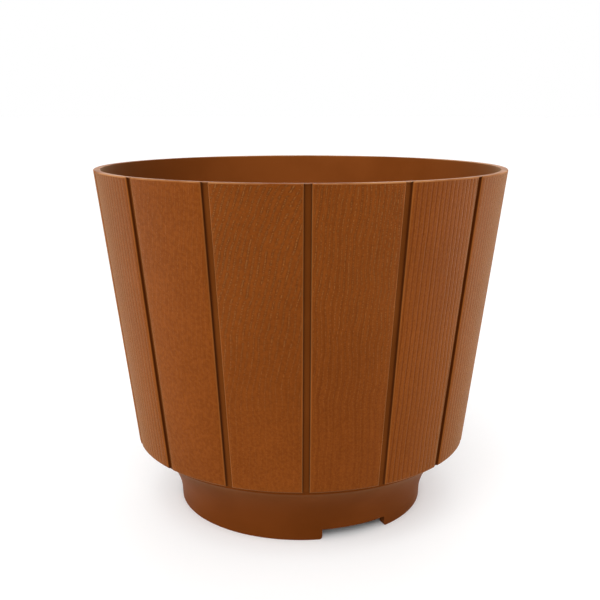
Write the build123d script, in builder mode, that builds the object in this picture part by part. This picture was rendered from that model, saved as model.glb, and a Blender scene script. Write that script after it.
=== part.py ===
from build123d import *
import math
import os

# Round floor planter of brown plastic: a tapered tub moulded with raised staves, standing on a flared foot.
# Millimetres, +Z up. The origin is on the ground at the centre of the foot. The front faces -Y.
# Angles run from the front (-Y) towards +X.

# Tub, outside
rim_diameter = 400.0
pot_height = 337.0
stave_end_diameter = 333.4
stave_end_height = 66.0
stave_end_bevel = 1.6
stave_count = 15
groove_width = 6.5
groove_depth = 3.0
groove_mouth_chamfer = 0.6
rim_lip = 2.0
groove_run_out = 1.0
rim_outer_bevel = 1.2
rim_inner_bevel = 0.6

# Tub, inside and below
groove_wall = 3.7
inner_corner_bevel = 8.0
floor_thickness = 3.5
skirt_depth = 6.5
skirt_thickness = 6.2
under_rib_count = 6
under_rib_thickness = 2.5
under_rib_depth = 8.0
under_rib_gap = 5.5
hub_ring_radius = 20.0
spigot_length = 12.0
spigot_play = 1.5
spigot_room = 5.0

# Drain holes and their plugs
drain_hole_count = 3
drain_hole_diameter = 22.0
drain_hole_offset = 75.0
plug_fit = 0.08
plug_stand_through = 1.5
plug_flange_diameter = 28.0
plug_flange_thickness = 2.2
plug_tab_width = 18.0
plug_tab_height = 10.0
plug_tab_bar = 3.0

# Foot
foot_diameter = 249.0
foot_wall = 3.0
foot_play = 2.0
foot_edge_height = 2.0
foot_edge_bevel = 1.2
bead_width = 7.5
bead_height = 5.0
flare_inner_steps = 3
collar_height = 11.6
collar_thickness = 3.0
deck_rise = 2.1
deck_thickness = 3.0
deck_margin = 4.5
gusset_count = 12
gusset_thickness = 2.5
gusset_foot_height = 20.0
gusset_edge_drop = 12.0
notch_count = 3
notch_angle = 23.0
notch_width = 66.0
notch_height = 10.0
notch_round = 3.0

# Foot screws
screw_count = 6
screw_diameter = 4.2
screw_head_diameter = 8.0
screw_head_height = 2.8
screw_cover = 3.0
screw_tip_room = 1.0
screw_hole_play = 0.3
thread_fit = 0.05
driver_room = 4.0
boss_diameter = 11.0

# Loose drainage grid
grid_play = 1.5
grid_thickness = 3.0
grid_leg_height = 19.0
grid_leg_diameter = 12.0
grid_leg_wall = 2.0
grid_inner_leg_offset = 72.5
grid_inner_leg_count = 3
grid_outer_leg_offset = 118.5
grid_outer_leg_count = 6
grid_edge_height = 6.0
grid_edge_thickness = 2.5
slot_length = 26.0
slot_width = 6.5
slot_ring_radii = (50.0, 97.0, 138.0)
slot_ring_counts = (6, 12, 18)
finger_hole_diameter = 24.0
finger_hole_spacing = 40.0

# Worked out from the sizes above
front = -90.0
rim_radius = rim_diameter / 2
stave_end_radius = stave_end_diameter / 2
stave_taper = (rim_radius - stave_end_radius) / (pot_height - stave_end_height)
wall_width = groove_wall + groove_depth
floor_underside = stave_end_height + skirt_depth
floor_top = floor_underside + floor_thickness
skirt_inner_radius = stave_end_radius - skirt_thickness

foot_radius = foot_diameter / 2
foot_top_radius = skirt_inner_radius - foot_play
flare_reach = foot_top_radius - foot_radius
flare_top = floor_underside - collar_height
flare_rise = flare_top - foot_edge_height
flare_radius = (flare_reach**2 + flare_rise**2) / (2 * flare_reach)
flare_centre_radius = foot_radius + flare_radius
# The spigot ring clears the plugs, the deck clears the spigot ring, and the screws stand inside the deck
spigot_radius = drain_hole_offset + plug_flange_diameter / 2 + spigot_room + under_rib_thickness
deck_inner_radius = spigot_radius + spigot_play
screw_circle_radius = deck_inner_radius + boss_diameter / 2 + deck_margin
under_rib_start = hub_ring_radius - under_rib_thickness / 2
under_rib_reach = foot_top_radius - collar_thickness - under_rib_gap
deck_top = flare_top + deck_rise
deck_underside = deck_top - deck_thickness
boss_height = floor_underside - deck_top
gusset_inner_radius = screw_circle_radius + screw_head_diameter / 2 + driver_room

screw_tip = floor_top - screw_cover
drain_angle = notch_angle
rib_angle = drain_angle + 180 / under_rib_count


def stave_radius(height):
    """Radius of the stave faces at a height above the ground."""
    return stave_end_radius + (height - stave_end_height) * stave_taper


def inner_radius(height):
    """Radius of the tub's inner wall at a height above the ground."""
    return stave_radius(height) - wall_width


def flare_inner_radius(height):
    """Radius of the inside of the foot's flared wall at a height above the ground."""
    return flare_centre_radius - math.sqrt(
        (flare_radius + foot_wall) ** 2 - (height - foot_edge_height) ** 2
    )


os.makedirs("parts", exist_ok=True)

# One groove between two staves, with chamfered edges, running along the slope of the stave faces
with BuildPart() as groove:
    groove_bottom = stave_end_height - groove_run_out
    groove_run = math.hypot(1, stave_taper) * (pot_height - rim_lip - groove_bottom)
    groove_plane = Plane(
        origin=(0, -stave_radius(groove_bottom), groove_bottom), x_dir=(1, 0, 0), z_dir=(0, -stave_taper, 1)
    )
    with BuildSketch(groove_plane):
        with BuildLine():
            half_width = groove_width / 2
            half_mouth = half_width + groove_mouth_chamfer + groove_run_out
            groove_half = Polyline(
                (0, groove_depth),
                (half_width, groove_depth),
                (half_width, groove_mouth_chamfer),
                (half_mouth, -groove_run_out),
                (0, -groove_run_out),
            )
            mirror(groove_half, about=Plane.YZ)
        make_face()
    extrude(amount=groove_run)

# Tub with its staves, rim, floor, underside ribs and screw bosses
with BuildPart() as stave_shell:
    with BuildSketch(Plane.XZ) as tub_section:
        with BuildLine():
            Polyline(
                (0, floor_underside),
                (skirt_inner_radius, floor_underside),
                (skirt_inner_radius, stave_end_height),
                (stave_end_radius, stave_end_height),
                (rim_radius, pot_height),
                (rim_radius - wall_width, pot_height),
                (inner_radius(floor_top), floor_top),
                (0, floor_top),
                close=True,
            )
        make_face()
        bevels = {
            (rim_radius, pot_height): rim_outer_bevel,
            (rim_radius - wall_width, pot_height): rim_inner_bevel,
            (stave_end_radius, stave_end_height): stave_end_bevel,
            (inner_radius(floor_top), floor_top): inner_corner_bevel,
        }
        for corner, bevel in bevels.items():
            chamfer(tub_section.vertices().sort_by_distance(corner)[0], bevel)
    revolve(axis=Axis.Z)
    with PolarLocations(0, stave_count):
        add(groove.part, mode=Mode.SUBTRACT)
    # Ribs under the floor
    with BuildSketch(Plane.XY.offset(floor_underside)):
        with PolarLocations(
            (under_rib_start + under_rib_reach) / 2, under_rib_count, start_angle=front + rib_angle
        ):
            Rectangle(under_rib_reach - under_rib_start, under_rib_thickness)
        Circle(hub_ring_radius)
        Circle(hub_ring_radius - under_rib_thickness, mode=Mode.SUBTRACT)
    extrude(amount=-under_rib_depth)
    # Spigot ring that centres the foot's deck
    with BuildSketch(Plane.XY.offset(floor_underside)):
        Circle(spigot_radius)
        Circle(spigot_radius - under_rib_thickness, mode=Mode.SUBTRACT)
    extrude(amount=-spigot_length)
    # Blind screw bosses, standing on the foot's deck
    with BuildSketch(Plane.XY.offset(floor_underside)):
        with PolarLocations(screw_circle_radius, screw_count, start_angle=front + rib_angle):
            Circle(boss_diameter / 2)
    extrude(amount=-boss_height)
    with BuildSketch(Plane.XY.offset(deck_top)):
        with PolarLocations(screw_circle_radius, screw_count, start_angle=front + rib_angle):
            Circle(screw_diameter / 2 + thread_fit)
    extrude(amount=screw_tip + screw_tip_room - deck_top, mode=Mode.SUBTRACT)
    # Drain holes
    with BuildSketch(Plane.XY.offset(floor_underside)):
        with PolarLocations(drain_hole_offset, drain_hole_count, start_angle=front + drain_angle):
            Circle(drain_hole_diameter / 2)
    extrude(amount=floor_thickness, mode=Mode.SUBTRACT)

# One gusset under the foot's deck
with BuildPart() as gusset:
    with BuildSketch(Plane.XZ):
        with BuildLine():
            Polyline(
                (gusset_inner_radius, deck_underside),
                (gusset_inner_radius, deck_underside - gusset_edge_drop),
                (flare_inner_radius(gusset_foot_height), gusset_foot_height),
                (foot_top_radius, gusset_foot_height),
                (foot_top_radius, deck_underside),
                close=True,
            )
        make_face()
        with Locations((flare_centre_radius, foot_edge_height)):
            Circle(flare_radius + foot_wall / 2, mode=Mode.SUBTRACT)
    extrude(amount=gusset_thickness / 2, both=True)

# One drainage notch through the foot's wall, with its feet rounded off
with BuildPart() as notch:
    with BuildSketch(Plane.XZ.offset(foot_radius - 2 * bead_width)):
        with BuildLine():
            left_foot = RadiusArc((-notch_width / 2 - notch_round, 0), (-notch_width / 2, notch_round), -notch_round)
            notch_walls = Polyline(
                left_foot @ 1,
                (-notch_width / 2, notch_height),
                (notch_width / 2, notch_height),
                (notch_width / 2, notch_round),
            )
            right_foot = RadiusArc(notch_walls @ 1, (notch_width / 2 + notch_round, 0), -notch_round)
            Line(right_foot @ 1, left_foot @ 0)
        make_face()
    extrude(amount=3 * bead_width)

# Foot: flared wall, deck under the tub's floor, collar inside the skirt, gussets and drainage notches
with BuildPart() as foot_ring:
    with BuildSketch(Plane.XZ) as foot_section:
        with BuildLine():
            flare_outer = RadiusArc(
                (foot_radius, foot_edge_height), (foot_top_radius, flare_top), flare_radius
            )
            Polyline(
                flare_outer @ 1,
                (foot_top_radius, floor_underside),
                (foot_top_radius - collar_thickness, floor_underside),
                (foot_top_radius - collar_thickness, deck_top),
                (deck_inner_radius, deck_top),
                (deck_inner_radius, deck_underside),
                (flare_inner_radius(deck_underside), deck_underside),
            )
            # The inside of the flare is a stack of straight cones
            bead_top = bead_height + bead_width - foot_wall
            cone_drop = (deck_underside - bead_top) / flare_inner_steps
            cone_edges = [deck_underside - step * cone_drop for step in range(flare_inner_steps + 1)]
            Polyline(*[(flare_inner_radius(height), height) for height in cone_edges])
            Polyline(
                (flare_inner_radius(bead_top), bead_top),
                (foot_radius - bead_width, bead_height),
                (foot_radius - bead_width, 0),
                (foot_radius, 0),
                (foot_radius, foot_edge_height),
            )
        make_face()
        chamfer(foot_section.vertices().sort_by_distance((foot_radius, 0))[0], foot_edge_bevel)
    revolve(axis=Axis.Z)
    with PolarLocations(0, gusset_count, start_angle=rib_angle + 180 / gusset_count):
        add(gusset.part)
    # Screw holes in the deck
    with BuildSketch(Plane.XY.offset(deck_underside)):
        with PolarLocations(screw_circle_radius, screw_count, start_angle=front + rib_angle):
            Circle(screw_diameter / 2 + screw_hole_play)
    extrude(amount=deck_thickness, mode=Mode.SUBTRACT)
    with PolarLocations(0, notch_count, start_angle=notch_angle):
        add(notch.part, mode=Mode.SUBTRACT)

# Self-tapping screws that hold the foot, all in one node
with BuildPart() as screw:
    with BuildSketch(Plane.XZ):
        with BuildLine():
            screw_radius = screw_diameter / 2
            head_radius = screw_head_diameter / 2
            Polyline(
                (0, deck_underside - screw_head_height),
                (head_radius, deck_underside - screw_head_height),
                (head_radius, deck_underside),
                (screw_radius, deck_underside),
                (screw_radius, screw_tip),
                (0, screw_tip),
                close=True,
            )
        make_face()
    revolve(axis=Axis.Z)

with BuildPart() as foot_screws:
    with PolarLocations(screw_circle_radius, screw_count, start_angle=front + rib_angle):
        add(screw.part)

# Loose grid on the tub's floor, under the soil
grid_underside = floor_top + grid_leg_height
grid_radius = inner_radius(grid_underside) - grid_play
with BuildPart() as drain_grid:
    with BuildSketch(Plane.XY.offset(grid_underside)):
        Circle(grid_radius)
        for ring_radius, ring_count in zip(slot_ring_radii, slot_ring_counts):
            with PolarLocations(ring_radius, ring_count, start_angle=front + rib_angle):
                Rectangle(slot_length, slot_width, mode=Mode.SUBTRACT)
        with GridLocations(finger_hole_spacing, 0, 2, 1):
            Circle(finger_hole_diameter / 2, mode=Mode.SUBTRACT)
    extrude(amount=grid_thickness)
    # Turned-down edge
    with BuildSketch(Plane.XY.offset(grid_underside)):
        Circle(grid_radius)
        Circle(grid_radius - grid_edge_thickness, mode=Mode.SUBTRACT)
    extrude(amount=-grid_edge_height)
    # Tubular legs
    with BuildSketch(Plane.XY.offset(grid_underside)):
        with PolarLocations(
            grid_inner_leg_offset,
            grid_inner_leg_count,
            start_angle=front + drain_angle + 180 / grid_inner_leg_count,
        ):
            Circle(grid_leg_diameter / 2)
            Circle(grid_leg_diameter / 2 - grid_leg_wall, mode=Mode.SUBTRACT)
        with PolarLocations(grid_outer_leg_offset, grid_outer_leg_count, start_angle=front + drain_angle):
            Circle(grid_leg_diameter / 2)
            Circle(grid_leg_diameter / 2 - grid_leg_wall, mode=Mode.SUBTRACT)
    extrude(amount=-grid_leg_height)

# Plug pushed into a drain hole from below, with a looped tab to pull it out by
with BuildPart() as plug:
    plug_radius = drain_hole_diameter / 2 - plug_fit
    flange_radius = plug_flange_diameter / 2
    flange_underside = floor_underside - plug_flange_thickness
    plug_top = floor_top + plug_stand_through
    with BuildSketch(Plane.XZ):
        with BuildLine():
            Polyline(
                (0, flange_underside),
                (flange_radius, flange_underside),
                (flange_radius, floor_underside),
                (plug_radius, floor_underside),
                (plug_radius, plug_top),
                (0, plug_top),
                close=True,
            )
        make_face()
    revolve(axis=Axis.Z)
    with BuildSketch(Plane.XZ):
        with Locations((0, flange_underside)):
            Rectangle(plug_tab_width, plug_tab_height, align=(Align.CENTER, Align.MAX))
        with Locations((0, flange_underside - plug_tab_height / 2)):
            Rectangle(plug_tab_width - 2 * plug_tab_bar, plug_tab_height - 2 * plug_tab_bar, mode=Mode.SUBTRACT)
    extrude(amount=plug_tab_bar / 2, both=True)

# Each finished piece gets its name and its file
finished = {
    "stave_shell": stave_shell.part,
    "foot_ring": foot_ring.part,
    "foot_screws": foot_screws.part,
    "drain_grid": drain_grid.part,
}
drain_holes = PolarLocations(drain_hole_offset, drain_hole_count, start_angle=front + drain_angle)
for number, hole in enumerate(drain_holes.locations, start=1):
    with BuildPart() as drain_plug:
        with Locations(hole):
            add(plug.part)
    finished[f"drain_plug_{number}"] = drain_plug.part

for name, piece in finished.items():
    piece.label = name
    export_step(piece, f"parts/{name}.step")
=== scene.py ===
import math

import bmesh
import bpy
from mathutils import Matrix, Vector


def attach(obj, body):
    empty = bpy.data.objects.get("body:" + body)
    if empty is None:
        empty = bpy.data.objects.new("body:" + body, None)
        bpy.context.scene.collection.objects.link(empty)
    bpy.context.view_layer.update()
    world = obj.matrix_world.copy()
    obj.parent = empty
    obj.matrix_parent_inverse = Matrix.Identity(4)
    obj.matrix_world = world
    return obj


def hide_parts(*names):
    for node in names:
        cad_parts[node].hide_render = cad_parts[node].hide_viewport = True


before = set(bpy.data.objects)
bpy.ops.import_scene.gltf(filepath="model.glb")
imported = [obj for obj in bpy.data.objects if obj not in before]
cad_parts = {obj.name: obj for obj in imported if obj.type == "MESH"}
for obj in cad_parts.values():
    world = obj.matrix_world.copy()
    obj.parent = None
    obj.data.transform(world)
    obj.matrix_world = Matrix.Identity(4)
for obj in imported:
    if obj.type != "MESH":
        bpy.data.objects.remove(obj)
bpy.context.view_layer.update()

MM = 0.001
TURN = 2 * math.pi

# Sizes of the tub, in millimetres, and angles from the front towards the right
POT_HEIGHT = 337.0
RIM_RADIUS = 200.0
RIM_ROUND = 1.0
LIP_ROUND = 0.8
STAVES = 15
STAVE_TURN = TURN / STAVES
STAVE_END = 66.0
STAVE_END_RADIUS = 166.7
STAVE_END_ROUND = 2.0
STAVE_END_EDGE = 0.5
GROOVE_DEPTH = 3.0
WALL = 6.7
SKIRT_THICKNESS = 6.2
SKIRT_DEPTH = 6.5
SKIRT_EDGE = 0.6
SKIRT_INNER = STAVE_END_RADIUS - SKIRT_THICKNESS
FLOOR_THICKNESS = 3.5
FLOOR_ROUND = 9.0
FLOOR_DISC = 146.0
UNDERSIDE = STAVE_END + SKIRT_DEPTH
FLOOR = UNDERSIDE + FLOOR_THICKNESS
DRAINS = 3
DRAIN_ANGLE = math.radians(23)
DRAIN_OFFSET = 75.0
DRAIN_RADIUS = 11.0

# Heights of the wall's rows on the outside, and on the inside going down
OUTER_ROWS = (72, 84, 105, 130, 155, 180, 205, 230, 255, 280, 305, 325, 334)
INNER_ROWS = (334, 320, 290, 255, 220, 185, 150, 120, 98)
# A groove's end under the rim as height and depth, then its depth at each step of the rim's round
GROOVE_END = ((335.0, 3.0), (335.6, 2.9), (336.0, 2.6))
GROOVE_END_IN_RIM = (2.0, 1.3, 0.75, 0.7, 0.0)
# Half a groove, from its middle to the stave's face: sideways offset and depth
HALF_GROOVE = (
    (0.0, 3.0), (1.7, 3.0), (2.6, 2.95), (3.0, 2.75), (3.16, 2.3),
    (3.22, 1.15), (3.36, 0.65), (3.75, 0.2), (4.5, 0.0),
)
LAST_STEP = len(HALF_GROOVE) - 1
# How much painted shade the groove's walls get at each of those steps, and how far the staves' edges are worn
# pale with a painted highlight
GROOVE_SHADE = (0.0, 0.12, 0.7, 1.0, 1.0, 0.8, 0.2, 0.0, 0.0)
GROOVE_WEAR_AND_HIGHLIGHT = (0.0, 0.0, 0.0, 0.0, 0.0, 0.0, 1.0, 1.0, 0.0)
# Columns of faces on a stave, and how many of them at each side belong to the groove
COLUMNS = 32
GROOVE_COLUMNS = 5

# Ribs, rings and screw bosses under the tub's floor, all sunk a little into it
SUNK = 0.5
HUB_OUTER, HUB_INNER, HUB_DEPTH = 20.0, 17.5, 8.0
SPIGOT_OUTER, SPIGOT_INNER, SPIGOT_LENGTH = 96.5, 94.0, 12.0
RIBS = 6
RIB_ANGLE = DRAIN_ANGLE + TURN / RIBS / 2
RIB_START, RIB_END = 18.9, 150.0
RIB_DEPTH = 8.0
RIB_THICKNESS = 2.5
BOSS_RADIUS = 5.5

# Sizes of the foot, in millimetres
FOOT_RADIUS = 124.5
FOOT_WALL = 3.0
FOOT_PLAY = 2.0
FOOT_EDGE = 0.9
BEAD_INNER = 117.0
BEAD_HEIGHT = 5.0
FLARE_RADIUS = 68.0
FLARE_CENTRE = (FOOT_RADIUS + FLARE_RADIUS, 2.0)
FLARE_OUTER_ROWS = (14, 18, 22, 26, 30, 34, 38, 42, 46, 49.5, 53, 56, 58.5, 60.5)
FLARE_INNER_ROWS = (56, 52, 48, 43, 38, 32, 26, 20, 15)
COLLAR_OUTER = SKIRT_INNER - FOOT_PLAY
COLLAR_INNER = COLLAR_OUTER - FOOT_WALL
COLLAR_LOW = 61.2
COLLAR_EDGE = 0.5
DECK_THICKNESS = 3.0
DECK_UNDERSIDE = 60.0
DECK_TOP = DECK_UNDERSIDE + DECK_THICKNESS
DECK_RIM, DECK_RIM_UNDER = 150.0, 146.0
DECK_PLAY = 1.5
DECK_INNER = SPIGOT_OUTER + DECK_PLAY
DECK_EDGE = 0.6
DECK_EDGE_UNDER = 1.2
SCREW_INSET = 10.0
SCREW_OFFSET = DECK_INNER + SCREW_INSET
SCREW_HOLE = 2.4
NOTCHES = 3
NOTCH_HALF = 33.0
NOTCH_TOP = 10.0
NOTCH_ROUND = 3.0
FOOT_COLUMNS = 240
NOTCH_COLUMNS = 10
# The columns gather at a notch's side walls below the first height, and are evenly spaced above the second
GATHER_LOW, GATHER_TOP = 12.0, 40.0
GUSSETS = 12
GUSSET_THICKNESS = 2.5
GUSSET_INNER = 116.0
GUSSET_TOP = 60.4
GUSSET_SHOULDER = 48.0
GUSSET_FOOT = 20.0
GUSSET_FOOT_LAP = 0.8
GUSSET_ROWS = (30, 42, 52)
GUSSET_LAST_ROW = 59.5

# Sizes of the lift-out grid, in millimetres
LEG_HEIGHT = 19.0
LEG_OUTER, LEG_INNER = 6.0, 4.0
LEG_RINGS = ((72.5, 3, DRAIN_ANGLE + TURN / 6), (118.5, 6, DRAIN_ANGLE))
LEG_SUNK = 0.3
GRID_THICKNESS = 3.0
GRID_UNDERSIDE = FLOOR + LEG_HEIGHT
GRID_TOP = GRID_UNDERSIDE + GRID_THICKNESS
GRID_RADIUS = 162.06
GRID_DISC = 157.0
GRID_EDGE_HEIGHT = 6.0
GRID_EDGE_THICKNESS = 2.5
GRID_TOP_ROUND, GRID_TOP_CUT = 0.6, 0.2
GRID_LOW_ROUND = 0.3
GRID_SOFTENING = 0.4
SLOT_RINGS = ((50.0, 6), (97.0, 12), (138.0, 18))
SLOT_LENGTH = 26.0
SLOT_WIDTH = 6.5
FINGER_HOLE_OFFSET = 20.0
FINGER_HOLE_RADIUS = 12.0

# Folds sharper than these angles are softened, and those sharper than the last are shaded as hard
HARD_FOLD, PLATE_FOLD, FOOT_FOLD = 1.0, 0.5, math.radians(50)
SHADED_FOLD = math.radians(40)
# Widths of softened edges, in millimetres
RING_EDGE, PLATE_EDGE, LEG_EDGE = 0.4, 0.35, 0.3
# Slivers shorter than this are merged, and edges shorter than the second length dissolved, in millimetres
SLIVER, SLIVER_EDGE = 0.03, 0.02
# Room for rounding when heights are compared, in millimetres, and in metres where they should be the same
NEAR = 0.1
FLAT = 1e-6
QUARTER_STEPS = 5
QUARTER = [math.pi / 2 * k / QUARTER_STEPS for k in range(QUARTER_STEPS + 1)]


def stave_radius(height):
    """Radius of the stave faces at a height, both in millimetres."""
    taper = (RIM_RADIUS - STAVE_END_RADIUS) / (POT_HEIGHT - STAVE_END)
    return STAVE_END_RADIUS + (height - STAVE_END) * taper


def flare_at(height, inset=0.0):
    """Radius of the foot's flared wall at a height, so many millimetres inside its outer face."""
    return FLARE_CENTRE[0] - math.sqrt((FLARE_RADIUS + inset) ** 2 - (height - FLARE_CENTRE[1]) ** 2)


def front_point(radius, height):
    """A point at the front of the pot, in metres."""
    return Vector((0, -radius * MM, height * MM))


def around(angle):
    """Turn about the pot's axis, from the front towards the right."""
    return Matrix.Rotation(angle, 4, "Z")


def off_axis(angle, offset):
    """The place at an angle and a distance from the pot's axis, at the height of the ground."""
    return around(angle) @ Matrix.Translation(front_point(offset, 0))


def polar(vert):
    """A vertex's radius and height in millimetres, and its angle from the front."""
    radius = math.hypot(vert.co.x, vert.co.y) / MM
    return radius, vert.co.z / MM, math.atan2(vert.co.x, -vert.co.y) % TURN


# Ways to shape a piece
def edges_of(verts):
    """The edges that meet the vertices, each of them once."""
    return list(dict.fromkeys(edge for vert in verts for edge in vert.link_edges))


def faces_of(verts):
    """The faces that meet the vertices, each of them once."""
    return list(dict.fromkeys(face for vert in verts for face in vert.link_faces))


def folded(edges, angle):
    """Those of the edges whose two faces meet at more than an angle."""
    return [edge for edge in edges if edge.is_manifold and edge.calc_face_angle() > angle]


def open_rim(bm, height):
    """The open edges that lie flat at a height."""
    return [
        edge for edge in bm.edges
        if edge.is_boundary and all(abs(vert.co.z - height * MM) < FLAT for vert in edge.verts)
    ]


def chain(bm, points):
    """A row of joined edges through the points."""
    verts = [bm.verts.new(p) for p in points]
    return verts, [bm.edges.new(pair) for pair in zip(verts, verts[1:])]


def spin_round(bm, geom, steps):
    """Spins an outline a full turn about the pot's axis."""
    bmesh.ops.spin(
        bm, geom=geom, cent=(0, 0, 0), axis=(0, 0, 1), dvec=(0, 0, 0),
        angle=TURN, steps=steps, use_merge=True, use_duplicate=False,
    )


def soften(bm, edges, width, segments=2, clamp=False):
    """Rounds the edges off and returns the new vertices."""
    return bmesh.ops.bevel(
        bm, geom=edges, offset=width * MM, offset_type="OFFSET", affect="EDGES", segments=segments,
        profile=0.5, material=-1, clamp_overlap=clamp,
    )["verts"]


def ring_wall(bm, outer, inner, low, high, steps, edge=RING_EDGE, place=None):
    """A closed ring of rectangular section with softened edges."""
    before = set(bm.verts)
    corners = [(outer, low), (outer, high), (inner, high), (inner, low)]
    verts, edges = chain(bm, [front_point(r, z) for r, z in corners])
    edges.append(bm.edges.new((verts[-1], verts[0])))
    spin_round(bm, verts + edges, steps)
    made = [v for v in bm.verts if v not in before]
    bmesh.ops.recalc_face_normals(bm, faces=faces_of(made))
    soften(bm, folded(edges_of(made), HARD_FOLD), edge)
    if place:
        bmesh.ops.transform(bm, matrix=place, verts=[v for v in bm.verts if v not in before])


def post(bm, radius, low, high, place):
    """A closed round post with softened edges."""
    made = bmesh.ops.create_cone(
        bm, cap_ends=True, segments=32, radius1=radius * MM, radius2=radius * MM, depth=(high - low) * MM,
        matrix=place @ Matrix.Translation((0, 0, (low + high) / 2 * MM)),
    )["verts"]
    soften(bm, folded(edges_of(made), HARD_FOLD), RING_EDGE)


def plate(bm, outline, thickness, place):
    """A closed flat plate: an outline of front points given thickness sideways."""
    verts = [bm.verts.new(front_point(r, z) - Vector((thickness / 2 * MM, 0, 0))) for r, z in outline]
    face = bm.faces.new(verts)
    grown = bmesh.ops.extrude_face_region(bm, geom=[face])["geom"]
    moved = [g for g in grown if isinstance(g, bmesh.types.BMVert)]
    bmesh.ops.translate(bm, vec=(thickness * MM, 0, 0), verts=moved)
    solid = verts + moved
    bmesh.ops.recalc_face_normals(bm, faces=faces_of(solid))
    made = soften(bm, folded(edges_of(solid), PLATE_FOLD), PLATE_EDGE)
    island = {v for v in solid if v.is_valid} | set(made)
    bmesh.ops.transform(bm, matrix=place, verts=list(island))


def hole(place, radius, steps, straight=0.0):
    """A round hole, or a slot if its straight sides have a length."""
    return place, radius, steps, straight


def hole_loop(bm, place, radius, steps, straight, height):
    """The edges of one hole at one height."""
    made = bmesh.ops.create_circle(bm, cap_ends=False, segments=steps, radius=radius * MM)["verts"]
    if straight:
        for vert in made:
            vert.co.y += math.copysign(straight / 2 * MM, vert.co.y) if abs(vert.co.y) > FLAT else 0
    bmesh.ops.transform(bm, matrix=place @ Matrix.Translation((0, 0, height * MM)), verts=made)
    return edges_of(made)


def holed_floor(bm, levels, holes):
    """Closes a floor between its open rims, with holes right through it.

    levels are heights from the top face to the underside, each with how much wider the holes are there."""
    for place, radius, steps, straight in holes:
        loops = [hole_loop(bm, place, radius + wider, steps, straight, height) for height, wider in levels]
        for upper, lower in zip(loops, loops[1:]):
            bmesh.ops.bridge_loops(bm, edges=upper + lower)
    for height, up in ((levels[0][0], 1), (levels[-1][0], -1)):
        bmesh.ops.triangle_fill(
            bm, use_beauty=True, use_dissolve=False, edges=open_rim(bm, height), normal=(0, 0, up)
        )
    bmesh.ops.recalc_face_normals(bm, faces=bm.faces)


def finish_mesh(bm, name, body, node, finishes):
    """Makes an object of a bmesh, with smooth faces and hard corners, and puts it in place of a CAD node."""
    for edge in bm.edges:
        edge.smooth = edge.is_manifold and edge.calc_face_angle() < SHADED_FOLD
    for face in bm.faces:
        face.smooth = True
    mesh = bpy.data.meshes.new(name)
    bm.to_mesh(mesh)
    bm.free()
    for finish in finishes:
        mesh.materials.append(finish)
    piece = bpy.data.objects.new(name, mesh)
    bpy.context.scene.collection.objects.link(piece)
    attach(piece, body)
    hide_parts(node)
    return piece


# Ways to build a finish
def add_node(tree, kind, inputs=None, **settings):
    """A shader node with its settings, and with its sockets set to values or linked to other sockets."""
    made = tree.nodes.new(kind)
    for key, value in settings.items():
        setattr(made, key, value)
    for socket, value in (inputs or {}).items():
        if isinstance(value, bpy.types.NodeSocket):
            tree.links.new(value, made.inputs[socket])
        else:
            made.inputs[socket].default_value = value
    return made


def sums(tree, operation, first, second=0.0, clamp=False):
    """One step of arithmetic on sockets or numbers."""
    return add_node(
        tree, "ShaderNodeMath", {0: first, 1: second}, operation=operation, use_clamp=clamp
    ).outputs[0]


def plus(tree, first, second, clamp=False):
    """The sum of two values, kept between 0 and 1 where it is clamped."""
    return sums(tree, "ADD", first, second, clamp)


def minus(tree, first, second):
    """The first value less the second."""
    return sums(tree, "SUBTRACT", first, second)


def times(tree, first, second):
    """The product of two values."""
    return sums(tree, "MULTIPLY", first, second)


def over(tree, first, second):
    """The first value divided by the second."""
    return sums(tree, "DIVIDE", first, second)


def size_of(tree, value):
    """A value without its sign."""
    return sums(tree, "ABSOLUTE", value)


def ramp(tree, value, low, high, out_low=0.0, out_high=1.0):
    """A smooth step of a value from one range to another."""
    return add_node(
        tree, "ShaderNodeMapRange",
        {"Value": value, "From Min": low, "From Max": high, "To Min": out_low, "To Max": out_high},
        interpolation_type="SMOOTHSTEP",
    ).outputs[0]


def mottle(tree, where, scale, detail=3.0, roughness=0.55):
    """Soft noise between 0 and 1 at so many grains per metre."""
    return add_node(
        tree, "ShaderNodeTexNoise",
        {"Vector": where, "Scale": scale, "Detail": detail, "Roughness": roughness},
    ).outputs["Fac"]


def drawn_out(tree, across, along, seed):
    """A place for noise that is stretched along the rows of the grain."""
    return add_node(tree, "ShaderNodeCombineXYZ", {0: across, 1: along, 2: seed}).outputs[0]


def on_piece(tree):
    """A point's own place on the piece."""
    return add_node(tree, "ShaderNodeTexCoord").outputs["Object"]


def painted(tree, name):
    """How far a point of the piece's mesh is worn pale with a painted highlight, or darkened with painted
    shade.
    """
    return add_node(tree, "ShaderNodeAttribute", attribute_name=name).outputs["Fac"]


def blend(tree, share, first, second):
    """A mix of two colours."""
    made = add_node(tree, "ShaderNodeMix", {0: share}, data_type="RGBA")
    for socket, colour in ((made.inputs[6], first), (made.inputs[7], second)):
        if isinstance(colour, bpy.types.NodeSocket):
            tree.links.new(colour, socket)
        else:
            socket.default_value = (*colour, 1)
    return made.outputs[2]


def bump(tree, shader, height, distance):
    """Relief of a height between 0 and 1, so many metres deep."""
    made = add_node(tree, "ShaderNodeBump", {"Height": height, "Distance": distance, "Strength": 1.0})
    tree.links.new(made.outputs[0], shader.inputs["Normal"])


def new_finish(name, metallic=0.0, specular=0.5):
    """A material with a plain shader."""
    finish = bpy.data.materials.new(name)
    finish.use_nodes = True
    shader = finish.node_tree.nodes["Principled BSDF"]
    shader.inputs["Metallic"].default_value = metallic
    shader.inputs["Specular IOR Level"].default_value = specular
    return finish, finish.node_tree, shader


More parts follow.
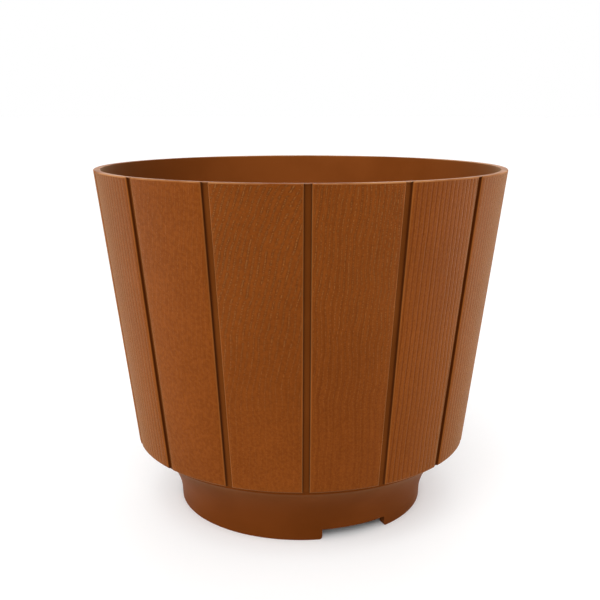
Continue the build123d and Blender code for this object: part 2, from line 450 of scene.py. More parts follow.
# Colours of the brown plastic, and its gloss
BROWN = (0.222, 0.0555, 0.0076)
BROWN_DEEP = (0.152, 0.0350, 0.0044)
# Worn brown, also used as a painted highlight on the dashes' tops and the staves' edges
BROWN_WORN_AND_LIT = (0.36, 0.120, 0.026)
# The same plastic painted lighter on the inside, as painted light on the inner wall
INNER_LIT_BROWN = (0.285, 0.0745, 0.0130)
INNER_LIT_BROWN_DEEP = (0.250, 0.0630, 0.0100)
# The same plastic painted darker in the grooves, as painted shade
GROOVE_SHADED_BROWN = (0.160, 0.0410, 0.0058)
GROOVE_SHADED_BROWN_DEEP = (0.140, 0.0350, 0.0046)
# Painted shade on the grooves' side walls
SHADE_BROWN = (0.062, 0.0125, 0.0018)
# The same plastic painted lighter on the rim, as a painted highlight
RIM_HIGHLIGHT_BROWN = (0.420, 0.1750, 0.0600)
# The same plastic painted darker on the foot, as painted shade under the tub
FOOT_SHADED_BROWN = (0.156, 0.0385, 0.0060)
FOOT_SHADED_BROWN_DEEP = (0.134, 0.0325, 0.0046)
# How strongly the edges' worn pale painted highlight and the grooves' painted shade show
WEAR_AND_HIGHLIGHT_SHARE = 0.5
SHADE_SHARE = 0.85
PLASTIC_SHINE = 0.02
WARM_SHINE = (1.0, 0.84, 0.48, 1.0)
SHEEN = 0.17
SHEEN_ROUGHNESS = 0.4
SHEEN_TINT = (1.0, 0.88, 0.42, 1.0)
# How much of the deep brown each pattern adds or takes away
CLOUD_SHARE = 0.30
LEATHER_SHARE = 0.55
COMBED_SHARE = 0.45
# The hollows beside the dashes are darkened as painted shade
HOLLOW_PAINTED_SHADE_SHARE = 0.50
# How much a dash's top is worn pale with a painted highlight for each metre of its height, and at most
DASH_RUB_AND_HIGHLIGHT, DASH_RUB_AND_HIGHLIGHT_MOST = 1800, 0.85
# Depths of the moulded relief, in metres
MOULD_GRAIN = 0.00002
RELIEF = 0.0004
LEATHER = 0.00040
CORD_HEIGHT = 0.00012
HOLLOW_DEPTH_SHARE = 0.5
# Grains of noise to a metre: the plastic's flow, its mould grain, the clouds, and the rows' wander
FLOW_SCALE = 14.0
MOULD_SCALE = 1500.0
CLOUD_SCALE = 9.0
WANDER_SCALE = 22.0
# The height where the rows of grain start to lean, and the length of the fine lines, in metres
LEAN_START = 0.10
LINE_LENGTH = 0.055
# Across a row of dashes, in shares of the rows' spacing: where a dash's ridge starts to fall and where it
# ends, and the middle and half the width of the hollow beside it
RIDGE_TOP, RIDGE_FOOT = 0.04, 0.17
HOLLOW_MIDDLE, HOLLOW_HALF = 0.19, 0.09
# How far apart two rows' dashes are taken from the noise, so that they don't look alike
ROW_APART = 7.31


def warm_sheen(shader, sheen=SHEEN):
    """The dull warm gloss of filled brown plastic, strongest where it is seen edge on."""
    shader.inputs["Specular Tint"].default_value = WARM_SHINE
    shader.inputs["Sheen Weight"].default_value = sheen
    shader.inputs["Sheen Roughness"].default_value = SHEEN_ROUGHNESS
    shader.inputs["Sheen Tint"].default_value = SHEEN_TINT


def smooth_plastic(name, light, deep, rough, shine=PLASTIC_SHINE, sheen=SHEEN):
    """Satin moulded plastic with a faint flow mottle and fine grain, worn pale with a painted highlight and
    darkened with painted shade where its mesh says.
    """
    finish, tree, shader = new_finish(name, specular=shine)
    warm_sheen(shader, sheen)
    where = on_piece(tree)
    flow = mottle(tree, where, FLOW_SCALE, 4.0)
    tone = blend(tree, ramp(tree, flow, 0.35, 0.65), light, deep)
    # The staves' edges worn pale with a painted highlight, as the mesh says
    tone = blend(tree, times(tree, painted(tree, "wear_and_highlight"), WEAR_AND_HIGHLIGHT_SHARE), tone, BROWN_WORN_AND_LIT)
    # Painted shade on the grooves' walls, as the mesh says
    tone = blend(tree, times(tree, painted(tree, "shade"), SHADE_SHARE), tone, SHADE_BROWN)
    tree.links.new(tone, shader.inputs["Base Color"])
    tree.links.new(ramp(tree, flow, 0.3, 0.7, rough - 0.03, rough + 0.05), shader.inputs["Roughness"])
    bump(tree, shader, mottle(tree, where, MOULD_SCALE, 2.0), MOULD_GRAIN)
    return finish


def grain_field(tree, where, across, height, lean, arch, wander_by, seed):
    """How far a point lies across the rows of the grain, which lean, bend and wander."""
    above = sums(tree, "MAXIMUM", minus(tree, height, LEAN_START), 0.0)
    at_rim = 2 * (POT_HEIGHT * MM - LEAN_START)
    leaned = times(tree, sums(tree, "POWER", above, 2.0), lean / at_rim)
    wander = times(tree, minus(tree, mottle(tree, where, WANDER_SCALE, 2.0), 0.5), wander_by)
    field = plus(tree, minus(tree, across, leaned), plus(tree, wander, seed))
    bent = times(tree, sums(tree, "POWER", size_of(tree, across), 2.0), arch)
    return plus(tree, field, times(tree, bent, height))


def grain_dashes(tree, field, height, rows, dash, fade, seed):
    """Rows of short dashes, and the hollows beside them. Both fade away downwards."""
    row = over(tree, field, rows)
    number = sums(tree, "ROUND", row)
    beside = size_of(tree, minus(tree, row, number))
    ridge = ramp(tree, beside, RIDGE_TOP, RIDGE_FOOT, 1.0, 0.0)
    moat = ramp(tree, size_of(tree, minus(tree, beside, HOLLOW_MIDDLE)), 0.0, HOLLOW_HALF, 1.0, 0.0)
    along = drawn_out(tree, times(tree, number, ROW_APART), over(tree, height, dash), seed * 100)
    broken = ramp(tree, mottle(tree, along, 1.0, 2.0, 0.7), 0.48, 0.58)
    strength = ramp(tree, height, fade[0], fade[1], 0.15, 1.0)
    dashes = times(tree, times(tree, ridge, broken), strength)
    hollows = times(tree, times(tree, moat, broken), strength)
    return dashes, hollows


def combed_lines(tree, field, fine_place, cords, cord_share):
    """Even upright lines, like combed wood, stronger in some patches than in others."""
    swing = sums(tree, "SINE", times(tree, field, TURN / cords))
    patchy = ramp(tree, mottle(tree, fine_place, 0.35, 2.0), 0.3, 0.6, 0.35, 1.0)
    combed = ramp(tree, swing, 0.15, 0.95, 0.35, -1.0)
    return times(tree, times(tree, combed, patchy), cord_share)


def grained_plastic(
    name, lean, rows, row_height, dash, lines, line_height, cords, cord_share, streaks, seed,
    wander_by=0.010, arch=0.0, fade=(0.10, 0.30), leather_scale=560.0,
):
    """Moulded plastic with a wood grain raised on it: rows of short dashes, fine lines and a leathery mottle.

    Lengths are in metres. lean is the rows' slope at the rim, rows and lines are their spacing, row_height
    and line_height their relief, and dash is a dash's length. cords is the spacing of even upright lines and
    cord_share how strong they are. streaks is how much the fine lines darken the colour, wander_by how far
    the rows stray, and arch bends them into tall arches. fade gives the heights between which the dashes come
    in, and leather_scale how many grains of mottle there are to a metre. seed sets the grains apart."""
    finish, tree, shader = new_finish(name, specular=PLASTIC_SHINE)
    warm_sheen(shader)
    on_stave = add_node(tree, "ShaderNodeUVMap", uv_map="stave").outputs[0]
    parts = add_node(tree, "ShaderNodeSeparateXYZ", {0: on_stave})
    across, height = parts.outputs[0], parts.outputs[1]
    where = on_piece(tree)
    field = grain_field(tree, where, across, height, lean, arch, wander_by, seed)
    dashes, hollows = grain_dashes(tree, field, height, rows, dash, fade, seed)
    fine_place = drawn_out(tree, over(tree, field, lines), over(tree, height, LINE_LENGTH), seed * 50)
    fine = mottle(tree, fine_place, 1.6, 3.0, 0.6)
    combed = combed_lines(tree, field, fine_place, cords, cord_share)
    leather = mottle(tree, where, leather_scale, 3.0, 0.65)

    relief = times(tree, dashes, row_height / RELIEF)
    relief = minus(tree, relief, times(tree, hollows, row_height / RELIEF * HOLLOW_DEPTH_SHARE))
    relief = plus(tree, relief, times(tree, combed, CORD_HEIGHT / RELIEF))
    relief = plus(tree, relief, times(tree, fine, line_height / RELIEF))
    relief = plus(tree, relief, times(tree, leather, LEATHER / RELIEF))
    bump(tree, shader, relief, RELIEF)

    # Clouds and streaks are darker, hollows get painted shade, and dash tops and groove edges are worn pale
    # with a painted highlight
    cloud = ramp(tree, mottle(tree, where, CLOUD_SCALE, 4.0), 0.35, 0.65)
    streak = ramp(tree, fine, 0.35, 0.65)
    share = plus(tree, times(tree, cloud, CLOUD_SHARE), times(tree, streak, streaks))
    share = plus(tree, share, ramp(tree, leather, 0.36, 0.64, 0.0, LEATHER_SHARE))
    share = minus(tree, share, times(tree, combed, COMBED_SHARE))
    share = plus(tree, share, times(tree, hollows, HOLLOW_PAINTED_SHADE_SHARE), clamp=True)
    brown = blend(tree, share, BROWN, BROWN_DEEP)
    dash_wear_and_highlight = times(tree, dashes, min(DASH_RUB_AND_HIGHLIGHT_MOST, row_height * DASH_RUB_AND_HIGHLIGHT))
    brown = blend(tree, dash_wear_and_highlight, brown, BROWN_WORN_AND_LIT)
    brown = blend(tree, times(tree, painted(tree, "wear_and_highlight"), WEAR_AND_HIGHLIGHT_SHARE), brown, BROWN_WORN_AND_LIT)
    tree.links.new(brown, shader.inputs["Base Color"])
    rough = plus(tree, ramp(tree, leather, 0.3, 0.7, 0.44, 0.52), times(tree, dashes, -0.06))
    tree.links.new(rough, shader.inputs["Roughness"])
    return finish


def fine_finish(name, colour, deep, rough, metallic=0.0, scale=700.0, depth=0.00003):
    """A fine-grained finish for the grid, the plugs and the screws."""
    finish, tree, shader = new_finish(name, metallic)
    where = on_piece(tree)
    tone = mottle(tree, where, 60.0, 3.0)
    grain = mottle(tree, where, scale, 2.0)
    tree.links.new(blend(tree, ramp(tree, tone, 0.35, 0.65), colour, deep), shader.inputs["Base Color"])
    tree.links.new(ramp(tree, grain, 0.3, 0.7, rough - 0.05, rough + 0.06), shader.inputs["Roughness"])
    bump(tree, shader, grain, depth)
    return finish


tub_plain = smooth_plastic("tub_smooth_plastic", BROWN, BROWN_DEEP, 0.42)
# Painted shade: the grooves' floors darker than the staves
groove_shaded = smooth_plastic("groove_shaded_plastic", GROOVE_SHADED_BROWN, GROOVE_SHADED_BROWN_DEEP, 0.46)
# Painted highlight: the rim lighter than the staves
rim_highlight = smooth_plastic("rim_highlight_plastic", RIM_HIGHLIGHT_BROWN, BROWN, 0.45, sheen=0.03)
# Painted light: the inside lighter than the staves
tub_inside_lit = smooth_plastic("tub_inside_lit_plastic", INNER_LIT_BROWN, INNER_LIT_BROWN_DEEP, 0.38)
# Painted shade: the foot darker than the tub
foot_shaded = smooth_plastic("foot_shaded_plastic", FOOT_SHADED_BROWN, FOOT_SHADED_BROWN_DEEP, 0.45, shine=0.015, sheen=0.04)
grid_black = fine_finish("grid_black_plastic", (0.040, 0.040, 0.042), (0.030, 0.030, 0.031), 0.5)
plug_black = fine_finish("plug_rubber", (0.028, 0.028, 0.029), (0.020, 0.020, 0.020), 0.62)
screw_zinc = fine_finish("screw_zinc", (0.62, 0.62, 0.60), (0.50, 0.50, 0.48), 0.28, 1.0, 400.0, 0.00001)
stave_finishes = [
    grained_plastic(
        "grain_arched_rows", lean=0.07, rows=0.0036, row_height=0.00042, dash=0.0010, lines=0.0022,
        line_height=0.00026, cords=0.0064, cord_share=0.5, streaks=0.22, seed=0.31,
    ),
    grained_plastic(
        "grain_fine_lines", lean=0.0, rows=0.0048, row_height=0.00006, dash=0.0050, lines=0.0013,
        line_height=0.00014, cords=0.0050, cord_share=1.5, streaks=0.2, seed=0.57,
        wander_by=0.0025, fade=(0.0, 0.2),
    ),
    grained_plastic(
        "grain_straight", lean=0.02, rows=0.0040, row_height=0.00008, dash=0.0040, lines=0.0016,
        line_height=0.00010, cords=0.0056, cord_share=1.2, streaks=0.2, seed=0.83,
        wander_by=0.0025, fade=(0.0, 0.2),
    ),
    grained_plastic(
        "grain_tall_arches", lean=0.24, rows=0.0050, row_height=0.00012, dash=0.0010, lines=0.0024,
        line_height=0.00006, cords=0.0060, cord_share=0.06, streaks=0.04, seed=1.19,
        arch=9.0, leather_scale=340.0,
    ),
    grained_plastic(
        "grain_leaning_rows", lean=0.42, rows=0.0050, row_height=0.00055, dash=0.0008, lines=0.0028,
        line_height=0.00008, cords=0.0055, cord_share=0.08, streaks=0.08, seed=1.43,
        leather_scale=420.0,
    ),
]
# Which of those grains each stave has, from the one right of the front groove
STAVE_GRAIN = (0, 1, 2, 0, 3, 1, 4, 2, 0, 1, 3, 4, 2, 3, 4)
TUB_FINISHES = [tub_plain, *stave_finishes, tub_inside_lit, rim_highlight, groove_shaded]
PLAIN, FIRST_GRAIN = 0, 1
INSIDE = FIRST_GRAIN + len(stave_finishes)
RIM, GROOVE = INSIDE + 1, INSIDE + 2


# The tub with its staves
def tub_section():
    """The wall's section, from under the skirt over the rim to the floor: radius, height and groove depth.

    The depth is none on the inside, where no groove goes."""
    rows = [(FLOOR_DISC, UNDERSIDE, None), (SKIRT_INNER - SKIRT_EDGE, UNDERSIDE, None)]
    rows += [(SKIRT_INNER, UNDERSIDE - SKIRT_EDGE, None), (SKIRT_INNER, STAVE_END + STAVE_END_EDGE, None)]
    rows += [(SKIRT_INNER + STAVE_END_EDGE, STAVE_END, None)]
    for a in QUARTER:
        z = STAVE_END + STAVE_END_ROUND * (1 - math.cos(a))
        rows.append((stave_radius(z) - STAVE_END_ROUND * (1 - math.sin(a)), z, GROOVE_DEPTH))
    rows += [(stave_radius(z), z, GROOVE_DEPTH) for z in OUTER_ROWS]
    rows += [(stave_radius(z), z, depth) for z, depth in GROOVE_END]
    for a, depth in zip(QUARTER[1:], GROOVE_END_IN_RIM):
        z = POT_HEIGHT - RIM_ROUND * (1 - math.sin(a))
        rows.append((stave_radius(z) - RIM_ROUND * (1 - math.cos(a)), z, depth))
    for a in QUARTER:
        z = POT_HEIGHT - LIP_ROUND * (1 - math.cos(a))
        rows.append((RIM_RADIUS - WALL + LIP_ROUND * (1 - math.sin(a)), z, None))
    rows += [(stave_radius(z) - WALL, z, None) for z in INNER_ROWS]
    for a in QUARTER:
        z = FLOOR + FLOOR_ROUND * (1 - math.sin(a))
        rows.append((stave_radius(z) - WALL - FLOOR_ROUND * (1 - math.cos(a)), z, None))
    return rows + [(FLOOR_DISC, FLOOR, None)]


def stave_angle(column, height):
    """Angle of one of a stave's columns from the middle of the groove before it."""
    radius = stave_radius(height)
    if column <= LAST_STEP:
        return math.asin(HALF_GROOVE[column][0] / radius)
    if column >= COLUMNS - LAST_STEP:
        return STAVE_TURN - math.asin(HALF_GROOVE[COLUMNS - column][0] / radius)
    near = math.asin(HALF_GROOVE[LAST_STEP][0] / radius)
    return near + (STAVE_TURN - 2 * near) * (column - LAST_STEP) / (COLUMNS - 2 * LAST_STEP)


def spin_tub_wall(bm):
    """Spins the tub's section, with each row's groove depth and its distance inside the stave faces."""
    groove_of, inset_of = bm.verts.layers.float["groove"], bm.verts.layers.float["inset"]
    outside_of = bm.verts.layers.int["outside"]
    rows = tub_section()
    verts, edges = chain(bm, [front_point(r, z) for r, z, _ in rows])
    for vert, (radius, height, groove) in zip(verts, rows):
        vert[outside_of] = groove is not None
        vert[groove_of] = groove or 0.0
        vert[inset_of] = stave_radius(height) - radius
    spin_round(bm, verts + edges, STAVES * COLUMNS)


def sink_grooves(bm):
    """Moves each column to its place beside its groove, and sinks it where the groove is."""
    groove_of, inset_of = bm.verts.layers.float["groove"], bm.verts.layers.float["inset"]
    wear_and_highlight_of, shade_of = bm.verts.layers.float["wear_and_highlight"], bm.verts.layers.float["shade"]
    column_of, outside_of = bm.verts.layers.int["column"], bm.verts.layers.int["outside"]
    for vert in bm.verts:
        radius, height, turn = polar(vert)
        stave, column = divmod(round(turn / STAVE_TURN * COLUMNS), COLUMNS)
        stave %= STAVES
        vert[column_of] = stave * COLUMNS + column
        step = min(column, COLUMNS - column)
        if not vert[outside_of] or step > LAST_STEP:
            vert.co = around(stave * STAVE_TURN + stave_angle(column, height)) @ front_point(radius, height)
            continue
        offset, depth = HALF_GROOVE[step]
        sunk = max(min(depth, vert[groove_of]), vert[inset_of])
        forward = math.sqrt(stave_radius(height) ** 2 - offset**2) - sunk
        before_groove = column > COLUMNS / 2
        side = -offset if before_groove else offset
        middle = (stave + before_groove) * STAVE_TURN
        vert.co = around(middle) @ Vector((side * MM, -forward * MM, vert.co.z))
        # Painted shade on the groove's walls, and a worn pale painted highlight on the staves' edges
        vert[wear_and_highlight_of], vert[shade_of] = GROOVE_WEAR_AND_HIGHLIGHT[step], GROOVE_SHADE[step]


def tub_finish(face, column_of, outside_of):
    """Which of the tub's finishes a face has."""
    heights = [vert.co.z / MM for vert in face.verts]
    outside = [vert[outside_of] for vert in face.verts]
    if min(heights) > POT_HEIGHT - RIM_ROUND - NEAR:
        return RIM
    if not any(outside) and face.calc_center_median().z > FLOOR * MM:
        return INSIDE
    if not all(outside):
        return PLAIN
    columns = [vert[column_of] % COLUMNS for vert in face.verts]
    low, high = min(columns), max(columns)
    if high - low > 1 or low < GROOVE_COLUMNS or low >= COLUMNS - GROOVE_COLUMNS:
        return GROOVE
    beside_groove = low < LAST_STEP or high > COLUMNS - LAST_STEP
    if beside_groove or min(heights) < STAVE_END + 1 or max(heights) > POT_HEIGHT - RIM_ROUND:
        return PLAIN
    return FIRST_GRAIN + STAVE_GRAIN[face.verts[0][column_of] // COLUMNS]


def share_out_finishes(bm):
    """Gives each face its finish, and the grained faces their place on their stave, in metres."""
    column_of, outside_of = bm.verts.layers.int["column"], bm.verts.layers.int["outside"]
    stave_uv = bm.loops.layers.uv["stave"]
    for face in bm.faces:
        face.material_index = tub_finish(face, column_of, outside_of)
        if not FIRST_GRAIN <= face.material_index < INSIDE:
            continue
        stave = face.verts[0][column_of] // COLUMNS
        for loop in face.loops:
            _, height, turn = polar(loop.vert)
            from_middle = turn - (stave + 0.5) * STAVE_TURN
            loop[stave_uv].uv = (from_middle * stave_radius(height) * MM, loop.vert.co.z)


def add_ribs(bm):
    """Ribs, rings and screw bosses under the tub's floor."""
    top = UNDERSIDE + SUNK
    ring_wall(bm, HUB_OUTER, HUB_INNER, UNDERSIDE - HUB_DEPTH, top, steps=64)
    ring_wall(bm, SPIGOT_OUTER, SPIGOT_INNER, UNDERSIDE - SPIGOT_LENGTH, top, steps=160)
    low = UNDERSIDE - RIB_DEPTH
    rib = [(RIB_START, low), (RIB_START, top), (RIB_END, top), (RIB_END, low)]
    for k in range(RIBS):
        angle = RIB_ANGLE + TURN / RIBS * k
        plate(bm, rib, RIB_THICKNESS, around(angle))
        post(bm, BOSS_RADIUS, DECK_TOP, top, off_axis(angle, SCREW_OFFSET))


def make_tub():
    """The tub: a tapered wall with sunken grooves, a floor with drain holes, and the ribs under it."""
    bm = bmesh.new()
    for name in ("inset", "groove", "wear_and_highlight", "shade"):
        bm.verts.layers.float.new(name)
    for name in ("column", "outside"):
        bm.verts.layers.int.new(name)
    bm.loops.layers.uv.new("stave")
    spin_tub_wall(bm)
    sink_grooves(bm)
    share_out_finishes(bm)
    places = [off_axis(DRAIN_ANGLE + TURN / DRAINS * k, DRAIN_OFFSET) for k in range(DRAINS)]
    holed_floor(bm, [(FLOOR, 0), (UNDERSIDE, 0)], [hole(place, DRAIN_RADIUS, steps=48) for place in places])
    add_ribs(bm)
    for name in ("inset", "groove"):
        bm.verts.layers.float.remove(bm.verts.layers.float[name])
    for name in ("column", "outside"):
        bm.verts.layers.int.remove(bm.verts.layers.int[name])
    return finish_mesh(bm, "tub", "pot", "stave_shell", TUB_FINISHES)


# The foot with its notches
def foot_section():
    """Radius and height from inside the bead over the wall to the deck, and from under the deck down."""
    rows = [(BEAD_INNER, BEAD_HEIGHT), (BEAD_INNER, 0.0), (FOOT_RADIUS, 0.0)]
    rows += [(flare_at(z), z) for z in (NOTCH_TOP, *FLARE_OUTER_ROWS)]
    rows += [(COLLAR_OUTER, COLLAR_LOW), (COLLAR_OUTER, UNDERSIDE - COLLAR_EDGE)]
    rows += [(COLLAR_OUTER - COLLAR_EDGE, UNDERSIDE), (COLLAR_INNER + COLLAR_EDGE, UNDERSIDE)]
    rows += [(COLLAR_INNER, UNDERSIDE - COLLAR_EDGE), (COLLAR_INNER, DECK_TOP + DECK_EDGE)]
    rows += [(COLLAR_INNER - DECK_EDGE, DECK_TOP), (DECK_RIM, DECK_TOP)]
    corner = DECK_UNDERSIDE - DECK_EDGE_UNDER
    under = [(DECK_RIM_UNDER, DECK_UNDERSIDE)]
    under += [(flare_at(DECK_UNDERSIDE, FOOT_WALL) - DECK_EDGE_UNDER, DECK_UNDERSIDE)]
    under += [(flare_at(z, FOOT_WALL), z) for z in (corner, *FLARE_INNER_ROWS, NOTCH_TOP)]
    return rows, under


def notch_edge(radius, height):
    """Angle from a notch's middle to its side wall, straight at the ground and easing off above the notch."""
    even = NOTCH_COLUMNS * TURN / FOOT_COLUMNS
    share = min(1.0, max(0.0, (GATHER_TOP - height) / (GATHER_TOP - GATHER_LOW)))
    return even + (math.asin(NOTCH_HALF / radius) - even) * share


def gather_columns(bm):
    """Moves the columns to the notches' parallel side walls and returns which notch each vertex is in."""
    per_notch = FOOT_COLUMNS // NOTCHES
    half = per_notch // 2
    in_notch = {}
    for vert in bm.verts:
        radius, height, turn = polar(vert)
        column = (round(turn / TURN * FOOT_COLUMNS) + half) % per_notch - half
        notch = round((turn - column * TURN / FOOT_COLUMNS) / (TURN / NOTCHES))
        edge, size = notch_edge(radius, height), abs(column)
        angle = edge * size / NOTCH_COLUMNS
        if size > NOTCH_COLUMNS:
            angle = edge + (TURN / NOTCHES / 2 - edge) * (size - NOTCH_COLUMNS) / (half - NOTCH_COLUMNS)
        angle = math.copysign(angle, column) + notch * TURN / NOTCHES + DRAIN_ANGLE
        vert.co = around(angle) @ front_point(radius, height)
        if size <= NOTCH_COLUMNS and height < NOTCH_TOP + NEAR:
            in_notch[vert] = notch % NOTCHES
    return in_notch


def low_edges(bm):
    """The edges no higher than the notches."""
    return [e for e in bm.edges if all(v.co.z / MM < NOTCH_TOP + NEAR for v in e.verts)]


def cut_notches(bm):
    """Opens the notches, closes their roofs and side walls, and returns the side walls' faces."""
    in_notch = gather_columns(bm)
    cut = [f for f in bm.faces if all(v in in_notch for v in f.verts)]
    bmesh.ops.delete(bm, geom=cut, context="FACES_ONLY")
    bmesh.ops.delete(bm, geom=[e for e in bm.edges if not e.link_faces], context="EDGES")
    bmesh.ops.delete(bm, geom=[v for v in bm.verts if not v.link_edges], context="VERTS")
    for number in range(NOTCHES):
        roof = [e for e in open_rim(bm, NOTCH_TOP) if all(in_notch.get(v) == number for v in e.verts)]
        bmesh.ops.bridge_loops(bm, edges=roof)
    low = low_edges(bm)
    return bmesh.ops.holes_fill(bm, edges=[e for e in low if e.is_boundary], sides=0)["faces"]


def soften_foot(bm, walls):
    """Rounds the notches' feet, then softens every low edge."""
    on_ground = [e for e in bm.edges if all(abs(v.co.z) < FLAT for v in e.verts)]
    feet = [e for e in folded(on_ground, HARD_FOLD) if any(f in walls for f in e.link_faces)]
    soften(bm, feet, NOTCH_ROUND, segments=5, clamp=True)
    soften(bm, folded(low_edges(bm), FOOT_FOLD), FOOT_EDGE, segments=3, clamp=True)
    # The two meet in slivers at the notches' corners, which are merged
    corners = [v for v in bm.verts if v.co.z < GATHER_LOW * MM]
    bmesh.ops.remove_doubles(bm, verts=corners, dist=SLIVER * MM)
    bmesh.ops.dissolve_degenerate(bm, dist=SLIVER_EDGE * MM, edges=bm.edges)


def add_gussets(bm):
    """Gussets between the foot's wall and the underside of its deck."""
    mid_wall = FOOT_WALL / 2
    outline = [(GUSSET_INNER, GUSSET_TOP), (GUSSET_INNER, GUSSET_SHOULDER)]
    outline += [(flare_at(GUSSET_FOOT, FOOT_WALL) + GUSSET_FOOT_LAP, GUSSET_FOOT)]
    outline += [(flare_at(z, mid_wall), z) for z in GUSSET_ROWS]
    outline += [(flare_at(GUSSET_LAST_ROW, mid_wall), GUSSET_TOP)]
    for k in range(GUSSETS):
        plate(bm, outline, GUSSET_THICKNESS, around(RIB_ANGLE + TURN / GUSSETS * (k + 0.5)))


def make_foot():
    """The foot: a flared wall with notches at the ground, and a deck with screw holes."""
    bm = bmesh.new()
    rows, under = foot_section()
    upper, upper_edges = chain(bm, [front_point(r, z) for r, z in rows])
    lower, lower_edges = chain(bm, [front_point(r, z) for r, z in under])
    lower_edges.append(bm.edges.new((lower[-1], upper[0])))
    spin_round(bm, upper + upper_edges + lower + lower_edges, FOOT_COLUMNS)
    walls = cut_notches(bm)
    screws = [off_axis(RIB_ANGLE + TURN / RIBS * k, SCREW_OFFSET) for k in range(RIBS)]
    holes = [hole(Matrix.Identity(4), DECK_INNER, steps=180)]
    holes += [hole(place, SCREW_HOLE, steps=24) for place in screws]
    holed_floor(bm, [(DECK_TOP, 0), (DECK_UNDERSIDE, 0)], holes)
    soften_foot(bm, walls)
    add_gussets(bm)
    return finish_mesh(bm, "foot", "pot", "foot_ring", [foot_shaded])


# The lift-out grid
def grid_section():
    """Radius and height from the grid's top over its edge to its underside."""
    outer, inner = GRID_RADIUS, GRID_RADIUS - GRID_EDGE_THICKNESS
    low = GRID_UNDERSIDE - GRID_EDGE_HEIGHT
    rows = [(GRID_DISC, GRID_TOP), (outer - GRID_TOP_ROUND, GRID_TOP)]
    rows += [(outer - GRID_TOP_CUT, GRID_TOP - GRID_TOP_CUT), (outer, GRID_TOP - GRID_TOP_ROUND)]
    rows += [(outer, low + GRID_LOW_ROUND), (outer - GRID_LOW_ROUND, low)]
    rows += [(inner + GRID_LOW_ROUND, low), (inner, low + GRID_LOW_ROUND)]
    rows += [(inner, GRID_UNDERSIDE - GRID_SOFTENING), (inner - GRID_SOFTENING, GRID_UNDERSIDE)]
    return rows + [(GRID_DISC, GRID_UNDERSIDE)]


def make_grid():
    """The grid: a disc with an edge, rings of slots, two finger holes, and hollow legs to stand on."""
    bm = bmesh.new()
    verts, edges = chain(bm, [front_point(r, z) for r, z in grid_section()])
    spin_round(bm, verts + edges, steps=180)
    holes = []
    for offset, count in SLOT_RINGS:
        for k in range(count):
            place = off_axis(RIB_ANGLE + TURN / count * k, offset)
            holes.append(hole(place, SLOT_WIDTH / 2, steps=28, straight=SLOT_LENGTH - SLOT_WIDTH))
    for side in (-1, 1):
        place = Matrix.Translation((side * FINGER_HOLE_OFFSET * MM, 0, 0))
        holes.append(hole(place, FINGER_HOLE_RADIUS, steps=28))
    soft = GRID_SOFTENING
    levels = [(GRID_TOP, soft), (GRID_TOP - soft, 0), (GRID_UNDERSIDE + soft, 0), (GRID_UNDERSIDE, soft)]
    holed_floor(bm, levels, holes)
    for offset, count, turn in LEG_RINGS:
        for k in range(count):
            place = off_axis(turn + TURN / count * k, offset)
            ring_wall(bm, LEG_OUTER, LEG_INNER, FLOOR, GRID_UNDERSIDE + LEG_SUNK, 32, LEG_EDGE, place)
    return finish_mesh(bm, "grid", "grid", "drain_grid", [grid_black])


make_tub()
make_foot()
make_grid()

# The screws and plugs keep their shape and get a finish
for node, finish in (
    ("foot_screws", screw_zinc),
    ("drain_plug_1", plug_black), ("drain_plug_2", plug_black), ("drain_plug_3", plug_black),
):
    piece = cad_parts[node]
    piece.data.materials.clear()
    piece.data.materials.append(finish)


# Floor, light and camera
WHITE = (1, 1, 1, 1)
PAPER = (0.94, 0.94, 0.94, 1)
FLOOR_GLOW = 1.3
FLOOR_GLOW_SHARE = 0.33
# Distances from the pot's axis, in metres, between which the floor turns from its own shade to white
GLOW_START, GLOW_FULL = 0.108, 0.134
ROOM_LIGHT = 0.22
FLOOR_HALF = 30
# The two low panels: their size, and how far they stand aside and forward and at what height, in metres
PANEL_WIDTH, PANEL_HEIGHT = 1.0, 0.30
PANEL_ASIDE, PANEL_FORWARD, PANEL_MIDDLE = 0.80, 0.10, 0.165


def seen_directly(tree):
    """1 for rays from the camera and for those seen in gloss or through glass, and 0 for the rest."""
    rays = add_node(tree, "ShaderNodeLightPath")
    direct = sums(tree, "MAXIMUM", rays.outputs["Is Camera Ray"], rays.outputs["Is Glossy Ray"])
    return sums(tree, "MAXIMUM", direct, rays.outputs["Is Transmission Ray"])


def mix_shaders(tree, share, first, second, surface):
    """Sends a mix of two shaders to a surface."""
    mixed = add_node(tree, "ShaderNodeMixShader", {0: share})
    tree.links.new(first, mixed.inputs[1])
    tree.links.new(second, mixed.inputs[2])
    tree.links.new(mixed.outputs[0], surface)


def floor_finish():
    """Pale paper that looks white outside the foot, and is left in its own shade under it."""
    paper, tree, shader = new_finish("floor_paper", specular=0.1)
    shader.inputs["Base Color"].default_value = PAPER
    shader.inputs["Roughness"].default_value = 0.9
    glow = add_node(tree, "ShaderNodeEmission", {"Color": WHITE, "Strength": FLOOR_GLOW})
    from_axis = add_node(tree, "ShaderNodeVectorMath", {0: on_piece(tree)}, operation="LENGTH")
    outside = ramp(tree, from_axis.outputs["Value"], GLOW_START, GLOW_FULL, 0.0, FLOOR_GLOW_SHARE)
    share = times(tree, seen_directly(tree), outside)
    surface = tree.nodes["Material Output"].inputs["Surface"]
    mix_shaders(tree, share, shader.outputs[0], glow.outputs[0], surface)
    return paper


def make_floor():
    """A plain floor that the pot stands on."""
    mesh = bpy.data.meshes.new("floor")
    bm = bmesh.new()
    bmesh.ops.create_grid(bm, x_segments=1, y_segments=1, size=FLOOR_HALF)
    bm.to_mesh(mesh)
    bm.free()
    mesh.materials.append(floor_finish())
    floor = bpy.data.objects.new("floor", mesh)
    bpy.context.scene.collection.objects.link(floor)


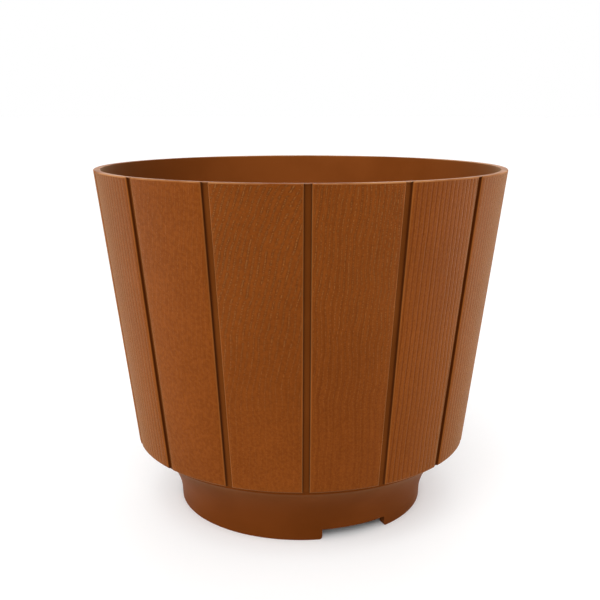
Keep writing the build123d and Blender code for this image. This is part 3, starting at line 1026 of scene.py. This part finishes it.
def light_room():
    """A white backdrop that gives a little light from all round."""
    world = bpy.data.worlds.new("studio")
    bpy.context.scene.world = world
    world.use_nodes = True
    tree = world.node_tree
    room = tree.nodes["Background"]
    room.inputs["Color"].default_value = WHITE
    room.inputs["Strength"].default_value = ROOM_LIGHT
    backdrop = add_node(tree, "ShaderNodeBackground", {"Color": WHITE, "Strength": 1.0})
    surface = tree.nodes["World Output"].inputs["Surface"]
    mix_shaders(tree, seen_directly(tree), room.outputs[0], backdrop.outputs[0], surface)


def soft_sun(name, strength, width, tilt, turn):
    """A wide sun lamp that leans by tilt and turns about the pot."""
    lamp = bpy.data.lights.new(name, "SUN")
    lamp.energy = strength
    lamp.angle = math.radians(width)
    sun = bpy.data.objects.new(name, lamp)
    sun.rotation_euler = (math.radians(tilt), 0, math.radians(turn))
    bpy.context.scene.collection.objects.link(sun)


def soft_panel(name, power, side):
    """A low upright panel beside the pot. Its top is under the rim, so it doesn't shine into the pot."""
    lamp = bpy.data.lights.new(name, "AREA")
    lamp.shape = "RECTANGLE"
    lamp.size, lamp.size_y = PANEL_WIDTH, PANEL_HEIGHT
    lamp.energy = power
    panel = bpy.data.objects.new(name, lamp)
    panel.location = (PANEL_ASIDE * side, -PANEL_FORWARD, PANEL_MIDDLE)
    panel.rotation_euler = (math.pi / 2, 0, math.pi / 2 * side)
    panel.visible_camera = False
    bpy.context.scene.collection.objects.link(panel)


def set_camera():
    """A camera in front of the pot, a little above its rim, that looks slightly down."""
    lens = bpy.data.cameras.new("camera")
    lens.sensor_width = 36
    lens.lens = 52.85
    lens.shift_x = -0.00107
    camera = bpy.data.objects.new("camera", lens)
    camera.location = (-0.02513, -0.87764, 0.3951)
    look_down, look_aside = 12.42, 1.64
    camera.rotation_euler = (math.radians(90 - look_down), 0, math.radians(-look_aside))
    bpy.context.scene.collection.objects.link(camera)
    bpy.context.scene.camera = camera


make_floor()
light_room()
soft_panel("left_panel", 2.9, -1)
soft_panel("right_panel", 3.5, 1)
soft_sun("front_softbox", 1.75, width=60, tilt=52, turn=-20)
soft_sun("top_softbox", 1.05, width=60, tilt=4, turn=0)
soft_sun("back_softbox", 0.7, width=50, tilt=66, turn=178)
set_camera()
bpy.context.scene.view_settings.view_transform = "Standard"
